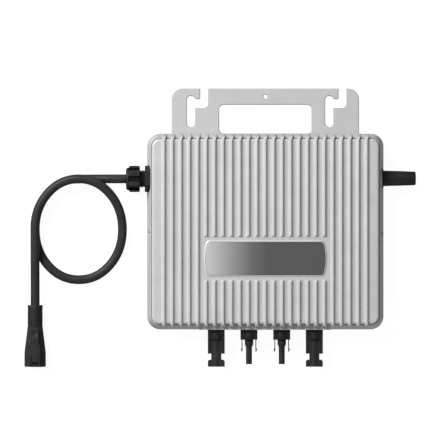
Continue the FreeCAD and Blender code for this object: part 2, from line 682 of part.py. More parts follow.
def rf_nut():
    nut = hexagon((ANTENNA_INNER_X, ANTENNA_Y, AXIS_Z), -X_AXIS, 4.0, 2.5, Z_AXIS)
    return nut.cut(rod((ANTENNA_INNER_X + 1, ANTENNA_Y, AXIS_Z), -X_AXIS, RF_R + SLIP, 5))


def rf_pigtail():
    start = ANTENNA_SEAT - 15.0
    route = [(start, ANTENNA_Y, AXIS_Z), (start - 4.5, ANTENNA_Y, AXIS_Z),
             (start - 9.0, ANTENNA_Y - 2.0, AXIS_Z - 0.5), (start - 12.5, ANTENNA_Y - 6.0, AXIS_Z - 0.6)]
    return swept(route, 0.65)


# ---- direct-current connectors -------------------------------------------------------------------------
def dc_spot(x, along):
    return (x, -BODY_Y - along, AXIS_Z)


def dc_box(x, x_half, start, end, z_half):
    return box(x - x_half, x + x_half, -BODY_Y - end, -BODY_Y - start, AXIS_Z - z_half, AXIS_Z + z_half)


def dc_block(x):
    """Square flange block with eased edges, a round boss on its front, and its threaded shank."""
    side_view = [(0, -BLOCK_Z), (BLOCK_LENGTH, -BLOCK_Z, 0.8), (BLOCK_LENGTH, BLOCK_END_Z, 0.4),
                 (BLOCK_SLOPE_START, BLOCK_Z), (0, BLOCK_Z)]
    wire = rounded_wire(side_view, lambda u, v: Vector(x - BLOCK_X, -BODY_Y - u, AXIS_Z + v))
    body = Part.Face(wire).extrude(Vector(2 * BLOCK_X, 0, 0))
    boss = Part.makeSphere(6.2, Vector(x, -BODY_Y - 5.7, AXIS_Z + 2.1))
    boss = boss.common(box(x - 5, x + 5, -BODY_Y - 9.9, -BODY_Y - 1.2, AXIS_Z, AXIS_Z + 12))
    shank = turned([(SHANK_END, 0), (SHANK_END, 5.5), (SHANK_END + 0.4, SHANK_R), (1, SHANK_R), (1, 0)],
                   dc_spot(x, 0), -Y_AXIS)
    groove = ring(dc_spot(x, -0.01), -Y_AXIS, 6.1, 7.1, 0.91)
    return fused([body, boss, shank]).cut(groove)


def dc_nose(x):
    """Connector with a slim nose between two latch fingers, and a groove at its root for an O-ring."""
    start, end = O_RING_GROOVE
    nose = turned([(5, 0), (5, COLLAR_R), (14.9, COLLAR_R), (start, 3.4), (start, O_RING_ROOT_R),
                   (end, O_RING_ROOT_R), (end, NOSE_R), (NOSE_END, NOSE_R, 0.4), (NOSE_END, 0)],
                  dc_spot(x, 0), -Y_AXIS)
    bore = rod(dc_spot(x, NOSE_END + 1), Y_AXIS, 2.5, NOSE_END + 20)
    pockets = []
    for side in (-1, 1):
        middle = x + side * FINGER_OFFSET
        z_half = FINGER_W / 2 + 0.15
        pivot = Vector(middle, -BODY_Y - FINGER_PIVOT, AXIS_Z - z_half)
        pockets.append(Part.makeCylinder(BEAD_R + RUNNING, 2 * z_half, pivot))
        pockets.append(dc_box(middle, FINGER_T / 2 + 0.25, FINGER_PIVOT, BLOCK_LENGTH + 1, z_half))
    return fused([dc_block(x), nose]).cut([bore] + pockets)


def latch_finger(x, side):
    """Springy arm with an outward barb, on a round root."""
    middle = x + side * FINGER_OFFSET
    inner = middle - side * FINGER_T / 2
    outer = middle + side * FINGER_T / 2
    barb = outer + side * 0.85
    root = -BODY_Y - FINGER_PIVOT
    tip = -BODY_Y - FINGER_END
    outline = [(inner, root), (inner, tip, 0.3), (outer, tip, 0.2), (barb, tip + 2.7, 0.25),
               (outer, tip + 3.4), (outer, root)]
    arm = slab(outline, AXIS_Z - FINGER_W / 2, AXIS_Z + FINGER_W / 2)
    bead = Part.makeCylinder(BEAD_R, FINGER_W, Vector(middle, root, AXIS_Z - FINGER_W / 2))
    return fused([arm, bead])


def dc_sleeve_contact(x):
    profile = [(-18.0, 0), (-18.0, 1.3), (-9.0, 1.3), (-9.0, 2.48), (NOSE_END - 0.6, 2.48),
               (NOSE_END - 0.6, 2.02), (NOSE_END - 16, 2.02), (NOSE_END - 16, 0)]
    return turned(profile, dc_spot(x, 0), -Y_AXIS)


def dc_shell(x):
    """Connector whose shell takes a mating nose, with a side notch for each latch finger."""
    low, high = NOTCH
    tube = rod(dc_spot(x, 1), -Y_AXIS, NECK_R, SHELL_END - 1)
    edge = [(BLOCK_X, 2), (BLOCK_X, low, 0.5), (NECK_R - 1, low), (NECK_R - 1, high),
            (BLOCK_X - 1.3, high, 0.6), (BLOCK_X, high + 1.5, 0.6), (BLOCK_X, SHELL_END)]
    wings = slab(mirrored(x, -BODY_Y, edge), AXIS_Z - 4.3, AXIS_Z + 4.3)
    ribs = [dc_box(x + side * 6.9, 0.55, 9, low - 1.5, 4.9) for side in (-1, 1)]
    bore = turned([(NOSE_END - 20, 0), (NOSE_END - 20, BORE_R), (SHELL_END - 0.6, BORE_R),
                   (SHELL_END, BORE_R + 0.6), (SHELL_END + 1, BORE_R + 0.6), (SHELL_END + 1, 0)],
                  dc_spot(x, 0), -Y_AXIS)
    core = rod(dc_spot(x, NOSE_END - 19), Y_AXIS, CONTACT_R + SLIP, 40)
    windows = [dc_box(x + side * 6.95, 0.95, high - 1, SHELL_END + 1, 2.3) for side in (-1, 1)]
    return fused([dc_block(x), tube, wings] + ribs).cut([bore, core] + windows)


def dc_pin_contact(x):
    profile = [(-18.0, 0), (-18.0, 1.3), (-9.0, 1.3), (-9.0, CONTACT_R), (SHELL_END - 4, CONTACT_R, 1.0),
               (SHELL_END - 4, 0)]
    return turned(profile, dc_spot(x, 0), -Y_AXIS)


def dc_locknuts():
    nuts = []
    for x in SHELL_X + NOSE_X:
        nut = hexagon((x, PAD_INNER_Y, AXIS_Z), Y_AXIS, 8.5, LOCKNUT_T, X_AXIS)
        nuts.append(nut.cut(rod((x, PAD_INNER_Y - 1, AXIS_Z), Y_AXIS, SHANK_R + SLIP, 8)))
    return group(nuts)


def dc_seals():
    """A flat seal under each connector block, and an O-ring on each nose."""
    rings = [ring(dc_spot(x, 0), -Y_AXIS, 6.12, 7.08, 0.88) for x in SHELL_X + NOSE_X]
    for x in NOSE_X:
        middle = sum(O_RING_GROOVE) / 2
        rings.append(Part.makeTorus(O_RING_ROOT_R + SLIP + 0.5, 0.5, Vector(*dc_spot(x, middle)), Y_AXIS))
    return group(rings)


# ---- mains cable and its plug ----------------------------------------------------------------------------
def plug_spot(along):
    return (PLUG_X, PLUG_Y - along, PLUG_Z)


def mains_cable():
    return swept(ROUTE, CABLE_R)


def cable_ends():
    """The cable's hidden ends: through the gland into the casing, and into the plug."""
    inner_length = CABLE_INNER_END - GLAND_SEAT + NUT_END
    return group([rod((GLAND_SEAT - NUT_END, GLAND_Y, AXIS_Z), X_AXIS, CABLE_R, inner_length),
                  rod(plug_spot(0), -Y_AXIS, CABLE_R, 26.0)])


def mains_cores():
    """Three insulated conductors from the cable's end to the mains terminals."""
    cores = []
    for k in (-1, 0, 1):
        y = GLAND_Y + 2.7 * k
        cores.append(swept([(CABLE_INNER_END, y, AXIS_Z), (CABLE_INNER_END + 4, y, AXIS_Z),
                            (CABLE_INNER_END + 9, GLAND_Y + 4.4 * k, AXIS_Z + 0.8),
                            (CABLE_INNER_END + 12.7, GLAND_Y + 5 * k, AXIS_Z + 0.8)], 1.25))
    return group(cores)


def lengthways(points, half_width):
    """A piece drawn from the side, as (distance from the plug's cable end, height over its axis)."""
    def place(along, height):
        return Vector(PLUG_X - half_width, PLUG_Y - along, PLUG_Z + height)
    return Part.Face(rounded_wire(points, place)).extrude(Vector(2 * half_width, 0, 0))


def lever_outline(grow):
    """The lever from above, with room round it: a round-ended finger pad, a neck, and a wider plate."""
    pad = LEVER_PAD_R + grow
    edge = [(pad, LEVER_START - grow, pad - 0.3), (LEVER_NECK + grow, 36.0, 5.0),
            (LEVER_PLATE + grow, 43.0, 5.0), (LEVER_PLATE + grow, LEVER_END + grow)]
    return slab(mirrored(PLUG_X, PLUG_Y, edge), PLUG_Z, PLUG_Z + 14)


def lever_window():
    return box(PLUG_X - 2.6, PLUG_X + 2.6, PLUG_Y - 59.4, PLUG_Y - 56.8, PLUG_Z + 7.6, PLUG_Z + 13)


def plug_shell():
    """Flared connector body, open at its front, with a tail that the back nut screws onto."""
    outer = [(10.0, 0), (10.0, 6.55), (21.2, 6.55)] + PLUG_FLARE + [(61.7, 0)]
    inner = [(9, 0), (9, CORE_BORE), (42.4, CORE_BORE), (45.0, PLUG_BORE), (62.7, PLUG_BORE), (62.7, 0)]
    channel = lengthways([(20.8, 6.2), (24.0, 6.2), (34.0, 6.8), (38.3, 6.8), (38.3, 5.85), (41.7, 5.85),
                          (41.7, 6.9), (44.2, 9.0), (62.0, 9.0), (62.0, 13.5), (20.8, 13.5)], 7.0)
    channel = channel.common(lever_outline(0.3))
    pin_hole = rod((PLUG_X - LEVER_PIN_HALF - SLIP, PLUG_Y - LEVER_PIVOT, LEVER_PIN_Z), X_AXIS,
                   LEVER_PIN_R + SLIP, 2 * LEVER_PIN_HALF + 2)
    tools = [turned(inner, plug_spot(0), -Y_AXIS), channel, pin_hole, lever_window()]
    return turned(outer, plug_spot(0), -Y_AXIS).cut(tools)


def plug_lever():
    """Rocking latch: a dished finger pad at the cable end, a slit plate with a catch window at the front."""
    side_view = [(20.8, 7.8), (30.5, 8.0), (38.9, 7.5), (41.1, 7.5), (44.2, 9.15), (62.0, 9.15),
                 (62.0, 10.45), (46.8, 10.45, 8.0), (32.0, 9.6, 4.0), (23.4, 9.4, 1.0), (20.8, 7.9)]
    blade = lengthways(side_view, 7.0).common(lever_outline(0))
    lug = rod((PLUG_X - 4.2, PLUG_Y - LEVER_PIVOT, LEVER_PIN_Z), X_AXIS, 1.1, 8.4)
    dish = Part.makeSphere(1.0, Vector(0, 0, 0))
    stretch = FreeCAD.Matrix()
    stretch.scale(4.3, 5.4, 1.8)
    dish = dish.transformGeometry(stretch)
    dish.translate(Vector(PLUG_X, PLUG_Y - LEVER_START - 5.4, PLUG_Z + 10.6))
    slits = [box(PLUG_X + x - 0.35, PLUG_X + x + 0.35, PLUG_Y - 62, PLUG_Y - 52, PLUG_Z + 8, PLUG_Z + 12)
             for x in (-3.7, 3.7)]
    bore = rod((PLUG_X - 7, PLUG_Y - LEVER_PIVOT, LEVER_PIN_Z), X_AXIS, LEVER_PIN_R + RUNNING, 14)
    return fused([blade, lug]).cut([dish, lever_window(), bore] + slits)


def plug_lever_pin():
    start = (PLUG_X - LEVER_PIN_HALF, PLUG_Y - LEVER_PIVOT, LEVER_PIN_Z)
    return rod(start, X_AXIS, LEVER_PIN_R, 2 * LEVER_PIN_HALF)


def plug_back_nut():
    """Ribbed nut that clamps the cable into the plug."""
    grooves = [ring(plug_spot(3.2 + 2.3 * k), -Y_AXIS, 7.25, 9.0, 1.0) for k in range(8)]
    outer = [(0, 0), (0, 7.6, 0.5), (21.0, 7.7, 0.3), (21.0, 0)]
    inner = [(-1, 0), (-1, CABLE_R + 0.35), (3.0, CABLE_R + 0.35), (3.0, 6.75), (22.0, 6.75), (22.0, 0)]
    return turned(outer, plug_spot(0), -Y_AXIS).cut([turned(inner, plug_spot(0), -Y_AXIS)] + grooves)


def plug_clamp_ring():
    return ring(plug_spot(3.05), -Y_AXIS, CABLE_R + 0.3, 6.6, 1.4)


def plug_cable_seal():
    return ring(plug_spot(4.6), -Y_AXIS, CABLE_R + SLIP, 6.5, 5.3)


def plug_insert():
    """Contact carrier with a keyed edge."""
    flange = PLUG_BORE - 0.1
    core = PLUG_BORE - 1.1
    carrier = turned([(45.2, 0), (45.2, flange), (47.0, flange), (47.0, core), (59.0, core, 0.4), (59.0, 0)],
                     plug_spot(0), -Y_AXIS)
    key = box(PLUG_X - 1.0, PLUG_X + 1.0, PLUG_Y - 60, PLUG_Y - 49, PLUG_Z - flange, PLUG_Z - core + 0.8)
    bores = [rod((PLUG_X + dx, PLUG_Y - 61, PLUG_Z + dz), Y_AXIS, 1.6 + SLIP, 25) for dx, dz in CONTACT_SPOTS]
    return carrier.cut([key] + bores)


def plug_contacts():
    profile = [(38.0, 0), (38.0, 1.2), (45.3, 1.2), (45.3, 1.6), (58.4, 1.6), (58.4, 1.1), (50.0, 1.1),
               (50.0, 0)]
    return group([turned(profile, (PLUG_X + dx, PLUG_Y, PLUG_Z + dz), -Y_AXIS) for dx, dz in CONTACT_SPOTS])


def plug_face_seal():
    return ring(plug_spot(47.05), -Y_AXIS, PLUG_BORE - 1.08, PLUG_BORE - 0.05, 1.4)


# ---- electronics -------------------------------------------------------------------------------------------
def on_board(x, y, length_x, length_y, height, lift=0.0):
    z = BOARD_TOP + lift
    return box(x - length_x / 2, x + length_x / 2, y - length_y / 2, y + length_y / 2, z, z + height)


def main_board():
    x_half = (BOARD_X[1] - BOARD_X[0]) / 2
    y_half = (BOARD_Y[1] - BOARD_Y[0]) / 2
    board = block(x_half, y_half, 3.0, BOARD_Z, BOARD_TOP)
    board.translate(Vector(sum(BOARD_X) / 2, sum(BOARD_Y) / 2, 0))
    return board.cut([rod((x, y, 0), Z_AXIS, SCREW_R + 0.1, 20) for x, y in POST_XY])


def board_screws():
    profile = [(-2.0, 0), (-2.0, 2.7, 0.6), (0, 2.7), (0, SCREW_R - SLIP), (8.0, SCREW_R - SLIP), (8.0, 0)]
    return group([turned(profile, (x, y, BOARD_Z), Z_AXIS) for x, y in POST_XY])


def transformer_cores():
    cores = []
    for x, y in TRANSFORMER_XY:
        core = on_board(x, y, 44, 40, TRANSFORMER_H)
        window = on_board(x, y, 32, 42, 10, 3.2)
        leg = on_board(x, y, 12, 40, TRANSFORMER_H)
        cores.append(fused([core.cut(window), leg]))
    return group(cores)


def transformer_windings():
    coils = []
    for x, y in TRANSFORMER_XY:
        outer = block(15.6, 23.0, 6.0, BOARD_TOP + 3.6, BOARD_TOP + 12.8)
        inner = block(6.3, 20.3, 1.0, BOARD_TOP + 3.0, BOARD_TOP + 13.5)
        coil = outer.cut(inner)
        coil.translate(Vector(x, y, 0))
        coils.append(coil)
    return group(coils)


def bulk_capacitors():
    cans = []
    for k in range(4):
        x = -70.0 + 19.0 * k
        can = turned([(0, 0), (0, 8.0, 0.8), (30.0, 8.0, 0.8), (30.0, 0)], (x, 6.0, BOARD_TOP + 8.1), Y_AXIS)
        groove = ring((x, 8.4, BOARD_TOP + 8.1), Y_AXIS, 7.5, 9, 1.2)
        cans.append(can.cut(groove))
    return group(cans)


def film_capacitors():
    blocks = [on_board(-42.0 + 30.0 * k, 62.0, 26, 12, 14) for k in (0, 1)]
    return group([b.makeFillet(0.8, b.Edges[0:4]) for b in blocks])


def mains_choke():
    """Toroid wound in two halves."""
    middle = Vector(40.0, 58.0, BOARD_TOP + 6.5)
    profile = [(-5.0, 6.0, 0.8), (5.0, 6.0, 0.8), (5.0, 12.0, 0.8), (-5.0, 12.0, 0.8)]
    return turned(profile, tuple(middle), Z_AXIS)


def choke_windings():
    middle = Vector(40.0, 58.0, BOARD_TOP + 6.5)
    stretch = turned([(-6.3, 4.7), (6.3, 4.7), (6.3, 13.3), (-6.3, 13.3)], tuple(middle), Z_AXIS)
    hollow = turned([(-5.1, 5.9), (5.1, 5.9), (5.1, 12.1), (-5.1, 12.1)], tuple(middle), Z_AXIS)
    shell = stretch.cut(hollow)
    turns = []
    for side in (0, 180):
        for k in range(9):
            blade = box(0, 20, -0.55, 0.55, -10, 10)
            blade.rotate(Vector(0, 0, 0), Z_AXIS, side - 60 + 15 * k)
            blade.translate(middle)
            turns.append(shell.common(blade))
    return group(turns)


def output_relays():
    return group([on_board(66.0, 20.0 - 19.0 * k, 28, 13, 15.5) for k in (0, 1)])


def power_transistors():
    """Two rows of power transistors, their tabs against the casing's front wall."""
    packages = []
    for x in (-74.0, 4.0, 80.0):
        for k in range(3):
            y = -54.0 + 18.0 * k
            body = on_board(x, y, 5, 15.5, 13.0, 3.5)
            legs = [on_board(x, y + 5.45 * j, 0.8, 1.4, 3.6) for j in (-1, 0, 1)]
            packages.append(fused([body] + legs))
    return group(packages)


def radio_module():
    base = on_board(84.0, ANTENNA_Y - 8, 18, 25, 1.0)
    can = on_board(84.0, ANTENNA_Y - 10, 15, 16, 3.0)
    return fused([base, can])


def control_chips():
    spots = [(10.0, 24.0, 14, 14), (10.0, 44.0, 10, 10), (28.0, 30.0, 7, 5)]
    return group([on_board(x, y, a, b, 1.4) for x, y, a, b in spots])


def dc_terminals():
    """Blocks that join the four direct-current contacts to the board."""
    return group([on_board(x, -71.0, 9, 8, 9.0) for x in SHELL_X + NOSE_X])


def dc_links():
    """Conductors from the contacts' tails to the terminals."""
    start = -BODY_Y + 18.0
    return group([rod((x, start, AXIS_Z), Y_AXIS, 1.25, -75.0 - start) for x in SHELL_X + NOSE_X])


def mains_terminals():
    x0 = CABLE_INNER_END + 13
    return box(x0, x0 + 10, GLAND_Y - 8.5, GLAND_Y + 8.5, BOARD_TOP, BOARD_TOP + 9)


def thermal_pads():
    top = BOARD_TOP + TRANSFORMER_H
    return group([box(x - 21, x + 21, y - 19, y + 19, top, CAVITY_TOP) for x, y in TRANSFORMER_XY])


# ---- the set of parts --------------------------------------------------------------------------------------
def all_parts():
    parts = {
        "housing": housing(), "back_plate": back_plate(), "housing_gasket": gasket(),
        "cover_screws": cover_screws(), "badge": badge(), "badge_adhesive": badge_glue(),
        "gland_body": gland_body(), "gland_dome_nut": gland_dome_nut(), "gland_seal": gland_seal(),
        "gland_clamp_ring": gland_clamp_ring(), "gland_flange_seal": gland_flange_seal(),
        "gland_locknut": gland_locknut(),
        "antenna_cover": antenna_cover(), "antenna_seal": antenna_seal(), "antenna_insert": antenna_insert(),
        "antenna_element": antenna_element(), "rf_connector": rf_connector(), "rf_nut": rf_nut(),
        "rf_pigtail": rf_pigtail(),
        "dc_locknuts": dc_locknuts(), "dc_seals": dc_seals(),
        "dc_terminals": dc_terminals(), "dc_links": dc_links(),
        "mains_cable": mains_cable(), "cable_ends": cable_ends(),
        "mains_cores": mains_cores(), "mains_terminals": mains_terminals(),
        "plug_shell": plug_shell(), "plug_lever": plug_lever(), "plug_lever_pin": plug_lever_pin(),
        "plug_back_nut": plug_back_nut(), "plug_clamp_ring": plug_clamp_ring(),
        "plug_cable_seal": plug_cable_seal(), "plug_insert": plug_insert(), "plug_contacts": plug_contacts(),
        "plug_face_seal": plug_face_seal(),
        "main_board": main_board(), "board_screws": board_screws(), "transformer_cores": transformer_cores(),
        "transformer_windings": transformer_windings(), "bulk_capacitors": bulk_capacitors(),
        "film_capacitors": film_capacitors(), "mains_choke": mains_choke(),
        "choke_windings": choke_windings(), "output_relays": output_relays(),
        "power_transistors": power_transistors(), "radio_module": radio_module(),
        "control_chips": control_chips(), "thermal_pads": thermal_pads(),
    }
    for name, x in zip(("left", "right"), SHELL_X):
        parts["dc_shell_" + name] = dc_shell(x)
    for name, x in zip(("left", "right"), NOSE_X):
        parts["dc_nose_" + name] = dc_nose(x)
        for side_name, side in (("left", -1), ("right", 1)):
            parts["latch_finger_%s_%s" % (name, side_name)] = latch_finger(x, side)
    parts["dc_pin_contacts"] = group([dc_pin_contact(x) for x in SHELL_X])
    parts["dc_sleeve_contacts"] = group([dc_sleeve_contact(x) for x in NOSE_X])
    return parts


os.makedirs("parts", exist_ok=True)
for part_name, part_shape in sorted(all_parts().items()):
    if not part_shape.isValid() or min(s.Volume for s in part_shape.Solids) <= 0:
        print("BAD", part_name)
    print(part_name, len(part_shape.Solids), round(part_shape.Volume))
    part_shape.exportStep("parts/" + part_name + ".step")
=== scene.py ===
import json

import bpy
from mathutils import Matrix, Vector


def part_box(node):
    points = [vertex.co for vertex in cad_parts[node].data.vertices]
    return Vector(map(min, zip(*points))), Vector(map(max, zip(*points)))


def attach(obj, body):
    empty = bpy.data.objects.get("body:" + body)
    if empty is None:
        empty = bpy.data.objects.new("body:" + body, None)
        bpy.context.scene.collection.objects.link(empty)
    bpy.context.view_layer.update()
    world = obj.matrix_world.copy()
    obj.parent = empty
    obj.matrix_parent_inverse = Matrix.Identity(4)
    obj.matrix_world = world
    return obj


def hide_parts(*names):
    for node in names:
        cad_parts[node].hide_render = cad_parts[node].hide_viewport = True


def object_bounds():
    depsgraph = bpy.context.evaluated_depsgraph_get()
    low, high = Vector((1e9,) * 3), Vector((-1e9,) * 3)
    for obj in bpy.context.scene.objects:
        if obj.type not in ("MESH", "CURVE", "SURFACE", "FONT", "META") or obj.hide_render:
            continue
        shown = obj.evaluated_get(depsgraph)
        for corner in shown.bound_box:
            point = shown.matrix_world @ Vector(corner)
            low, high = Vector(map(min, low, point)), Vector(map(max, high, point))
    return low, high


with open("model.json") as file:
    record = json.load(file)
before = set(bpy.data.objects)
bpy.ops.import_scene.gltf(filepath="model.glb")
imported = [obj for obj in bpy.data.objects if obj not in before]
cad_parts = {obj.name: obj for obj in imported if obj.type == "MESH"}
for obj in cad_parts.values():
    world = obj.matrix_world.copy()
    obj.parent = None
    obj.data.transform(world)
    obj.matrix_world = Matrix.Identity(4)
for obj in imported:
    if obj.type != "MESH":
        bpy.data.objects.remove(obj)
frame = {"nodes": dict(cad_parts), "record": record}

cad_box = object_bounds()
MM = 0.001
NODES = frame["nodes"]


# ---- camera: straight down on the front face, hanger at the top ----------------------------------
VIEW_WIDTH = 0.440               # metres across the view at the casing's half height
LENS = 400.0                     # in millimetres, as is the sensor's width
SENSOR = 36.0
FAR_CLIP = 50.0                  # well past the floor, which is about 5 metres away
VIEW_RISE = 7.45 * MM            # the view's middle is this far towards +Y from the object's middle


def make_camera():
    low, high = cad_box
    height = (low.z + high.z) / 2 + VIEW_WIDTH * LENS / SENSOR
    data = bpy.data.cameras.new("camera")
    data.lens = LENS
    data.sensor_width = SENSOR
    data.clip_end = FAR_CLIP
    camera = bpy.data.objects.new("camera", data)
    camera.location = ((low.x + high.x) / 2, (low.y + high.y) / 2 + VIEW_RISE, height)
    bpy.context.scene.collection.objects.link(camera)
    bpy.context.scene.camera = camera


# ---- the mains cable -------------------------------------------------------------------------------
CABLE_DIAMETER = 0.009
CABLE_OUTLINE_STEPS = 8          # how finely its round outline is divided
CABLE_BEND_STEPS = 16            # curve steps from one route point to the next
CABLE_ORDER = 3                  # a quadratic curve, which touches the middle of each leg of the route
# Out of the gland, down to the floor, once round the loop, over itself, and straight to the plug.
CABLE_ROUTE = [
    (-0.13935, 0.0526, 0.0140),
    (-0.1530, 0.0526, 0.0140),
    (-0.1715, 0.0526, 0.0093),
    (-0.2056, 0.0524, 0.0046),
    (-0.2306, 0.0234, 0.0046),
    (-0.2306, -0.0192, 0.0046),
    (-0.2052, -0.0484, 0.0046),
    (-0.1685, -0.0484, 0.0046),
    (-0.1431, -0.0190, 0.0064),
    (-0.1431, 0.0232, 0.0134),
    (-0.1684, 0.0526, 0.0202),
    (-0.2052, 0.0526, 0.0164),
    (-0.2305, 0.0234, 0.0146),
    (-0.2305, -0.0160, 0.0146),
    (-0.23045, -0.0500, 0.0108),
    (-0.23045, -0.07375, 0.0108),
]


def make_cable():
    curve = bpy.data.curves.new("cable", "CURVE")
    curve.dimensions = "3D"
    curve.bevel_depth = 1.0      # times each point's radius
    curve.bevel_resolution = CABLE_OUTLINE_STEPS
    curve.resolution_u = CABLE_BEND_STEPS
    spline = curve.splines.new("NURBS")
    spline.points.add(len(CABLE_ROUTE) - 1)
    for point, place in zip(spline.points, CABLE_ROUTE):
        point.co = (*place, 1.0)
        point.radius = CABLE_DIAMETER / 2
    spline.order_u = CABLE_ORDER
    spline.use_endpoint_u = True
    cable = bpy.data.objects.new("cable", curve)
    bpy.context.scene.collection.objects.link(cable)
    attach(cable, "casing")
    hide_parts("mains_cable")
    return cable


make_camera()
cable = make_cable()


# ---- materials ---------------------------------------------------------------------------------------
NOISE_MARGIN = 0.3               # noise mostly lies between this and one minus this
PATCH_MARGIN = 0.35              # the same, for patches of two tones with firmer borders
WORN, UNWORN = 0.80, 0.995       # cosine of the turn at an edge that is fully rubbed, and not at all
GROOVE, OPEN = 0.45, 0.95        # share of the sky that a groove sees, and that an open surface sees
RECESS_SHADE_TONE = 0.25               # painted shade: tone deep in a recess, as a share of the open surface's
RECESS_REACH = 2.5 * MM          # how far away a wall still casts painted shade into a recess
EDGE_SAMPLES, SKY_SAMPLES = 4, 6 # rays for a rounded edge's normal, and for the sky
MIX_FIRST, MIX_SECOND, MIX_RESULT = 6, 7, 2      # the Mix node's colour sockets, by number


def grey(tone):
    return (tone, tone, tone)


class Surface:
    """A node material on Principled BSDF, in object coordinates, which are metres in the part's frame."""

    def __init__(self, name, roughness, metallic=0.0, specular=0.5):
        self.material = bpy.data.materials.new(name)
        self.material.use_nodes = True
        self.tree = self.material.node_tree
        self.shader = self.tree.nodes["Principled BSDF"]
        self.shader.inputs["Metallic"].default_value = metallic
        self.shader.inputs["Roughness"].default_value = roughness
        self.shader.inputs["Specular IOR Level"].default_value = specular
        self.place = self.node("ShaderNodeTexCoord").outputs["Object"]
        self.normal = None

    def node(self, kind, **values):
        made = self.tree.nodes.new(kind)
        for key, value in values.items():
            setattr(made, key, value)
        return made

    def link(self, source, target):
        self.tree.links.new(source, target)

    def stretched(self, scale):
        """Object coordinates scaled along each axis, for grain with a direction."""
        mapping = self.node("ShaderNodeMapping")
        mapping.inputs["Scale"].default_value = scale
        self.link(self.place, mapping.inputs["Vector"])
        return mapping.outputs["Vector"]

    def noise(self, size, detail=3.0, place=None):
        """Noise whose features are about size metres across."""
        made = self.node("ShaderNodeTexNoise")
        made.inputs["Scale"].default_value = 1.0 / size
        made.inputs["Detail"].default_value = detail
        self.link(place or self.place, made.inputs["Vector"])
        return made.outputs["Fac"]

    def share(self, value, start, end):
        """0 where value is start, up to 1 where it is end."""
        made = self.node("ShaderNodeMapRange")
        made.inputs["From Min"].default_value = start
        made.inputs["From Max"].default_value = end
        self.link(value, made.inputs["Value"])
        return made.outputs["Result"]

    def ramp(self, value, stops):
        """Stops are (position, tone)."""
        made = self.node("ShaderNodeValToRGB")
        elements = made.color_ramp.elements
        while len(elements) < len(stops):
            elements.new(0.5)    # its place is set below
        for element, (position, tone) in zip(elements, stops):
            element.position = position
            element.color = (*grey(tone), 1.0)
        self.link(value, made.inputs["Fac"])
        return made.outputs["Color"]

    def between(self, value, low, high, margin=NOISE_MARGIN):
        """From low to high, which it reaches where value is margin and one minus margin."""
        return self.ramp(value, [(margin, low), (1.0 - margin, high)])

    def patches(self, size):
        """A factor for patches of two tones, about size metres across."""
        return self.between(self.noise(size), 0.0, 1.0, PATCH_MARGIN)

    def mix(self, factor, first, second, blend="MIX"):
        made = self.node("ShaderNodeMix", data_type="RGBA", blend_type=blend)
        if isinstance(factor, float):
            made.inputs["Factor"].default_value = factor
        else:
            self.link(factor, made.inputs["Factor"])
        for socket, value in ((made.inputs[MIX_FIRST], first), (made.inputs[MIX_SECOND], second)):
            if isinstance(value, tuple):
                socket.default_value = (*value, 1.0)
            else:
                self.link(value, socket)
        return made.outputs[MIX_RESULT]

    def times(self, first, second):
        return self.mix(1.0, first, second, "MULTIPLY")

    def softened(self, radius):
        """The surface's normal with its edges rounded to radius."""
        made = self.node("ShaderNodeBevel", samples=EDGE_SAMPLES)
        made.inputs["Radius"].default_value = radius
        return made.outputs["Normal"]

    def worn_edges(self, radius, strength):
        """Where the surface turns sharply within radius, as a factor up to strength."""
        turn = self.node("ShaderNodeVectorMath", operation="DOT_PRODUCT")
        self.link(self.softened(radius), turn.inputs[0])
        self.link(self.node("ShaderNodeNewGeometry").outputs["Normal"], turn.inputs[1])
        return self.ramp(turn.outputs["Value"], [(WORN, strength), (UNWORN, 0.0)])

    def painted_recess_shade(self):
        """Painted shade: 1 on open surfaces, down to the painted recess tone in grooves and other recesses.
        """
        made = self.node("ShaderNodeAmbientOcclusion", samples=SKY_SAMPLES, only_local=True)
        made.inputs["Distance"].default_value = RECESS_REACH
        return self.ramp(made.outputs["AO"], [(GROOVE, RECESS_SHADE_TONE), (OPEN, 1.0)])

    def painted_pocket_shade(self, node_name, radius, depth):
        """Painted shade in pockets: 1 beyond radius from the node's axis along X, down to the painted
        recess tone at depth inside it.
        """
        low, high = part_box(node_name)
        away = self.node("ShaderNodeVectorMath", operation="SUBTRACT")
        self.link(self.place, away.inputs[0])
        away.inputs[1].default_value = (low + high) / 2
        across = self.node("ShaderNodeVectorMath", operation="MULTIPLY")
        self.link(away.outputs[0], across.inputs[0])
        across.inputs[1].default_value = (0, 1, 1)    # leaves out the part along the axis
        length = self.node("ShaderNodeVectorMath", operation="LENGTH")
        self.link(across.outputs[0], length.inputs[0])
        height = self.share(length.outputs["Value"], radius - depth, radius)
        return self.between(height, RECESS_SHADE_TONE, 1.0, margin=0.0)

    def round_edges(self, radius):
        self.normal = self.softened(radius)

    def bump(self, height, depth, strength):
        made = self.node("ShaderNodeBump")
        made.inputs["Strength"].default_value = strength
        made.inputs["Distance"].default_value = depth
        self.link(height, made.inputs["Height"])
        self.link(self.normal, made.inputs["Normal"])
        self.normal = made.outputs["Normal"]

    def finish(self, colour, roughness=None):
        self.link(colour, self.shader.inputs["Base Color"])
        if roughness is not None:
            self.link(roughness, self.shader.inputs["Roughness"])
        if self.normal is not None:
            self.link(self.normal, self.shader.inputs["Normal"])
        return self.material


RUBBED_METAL = grey(0.55)
METAL_WEAR = 0.3                 # how much of the rubbed tone shows on the sharpest edges


def cast_metal():
    """Blasted and clear-coated die casting: satin grey, fine grain, edges rubbed a little brighter."""
    s = Surface("cast_metal", metallic=0.15, roughness=0.5, specular=0.3)
    fine = s.noise(0.35 * MM)
    broad = s.noise(22 * MM)
    colour = s.times(s.between(fine, 0.308, 0.362), s.between(broad, 0.95, 1.0))
    colour = s.mix(s.worn_edges(0.5 * MM, METAL_WEAR), colour, RUBBED_METAL)
    s.round_edges(0.35 * MM)
    s.bump(fine, depth=0.03 * MM, strength=0.5)
    return s.finish(colour, s.between(broad, 0.44, 0.54))


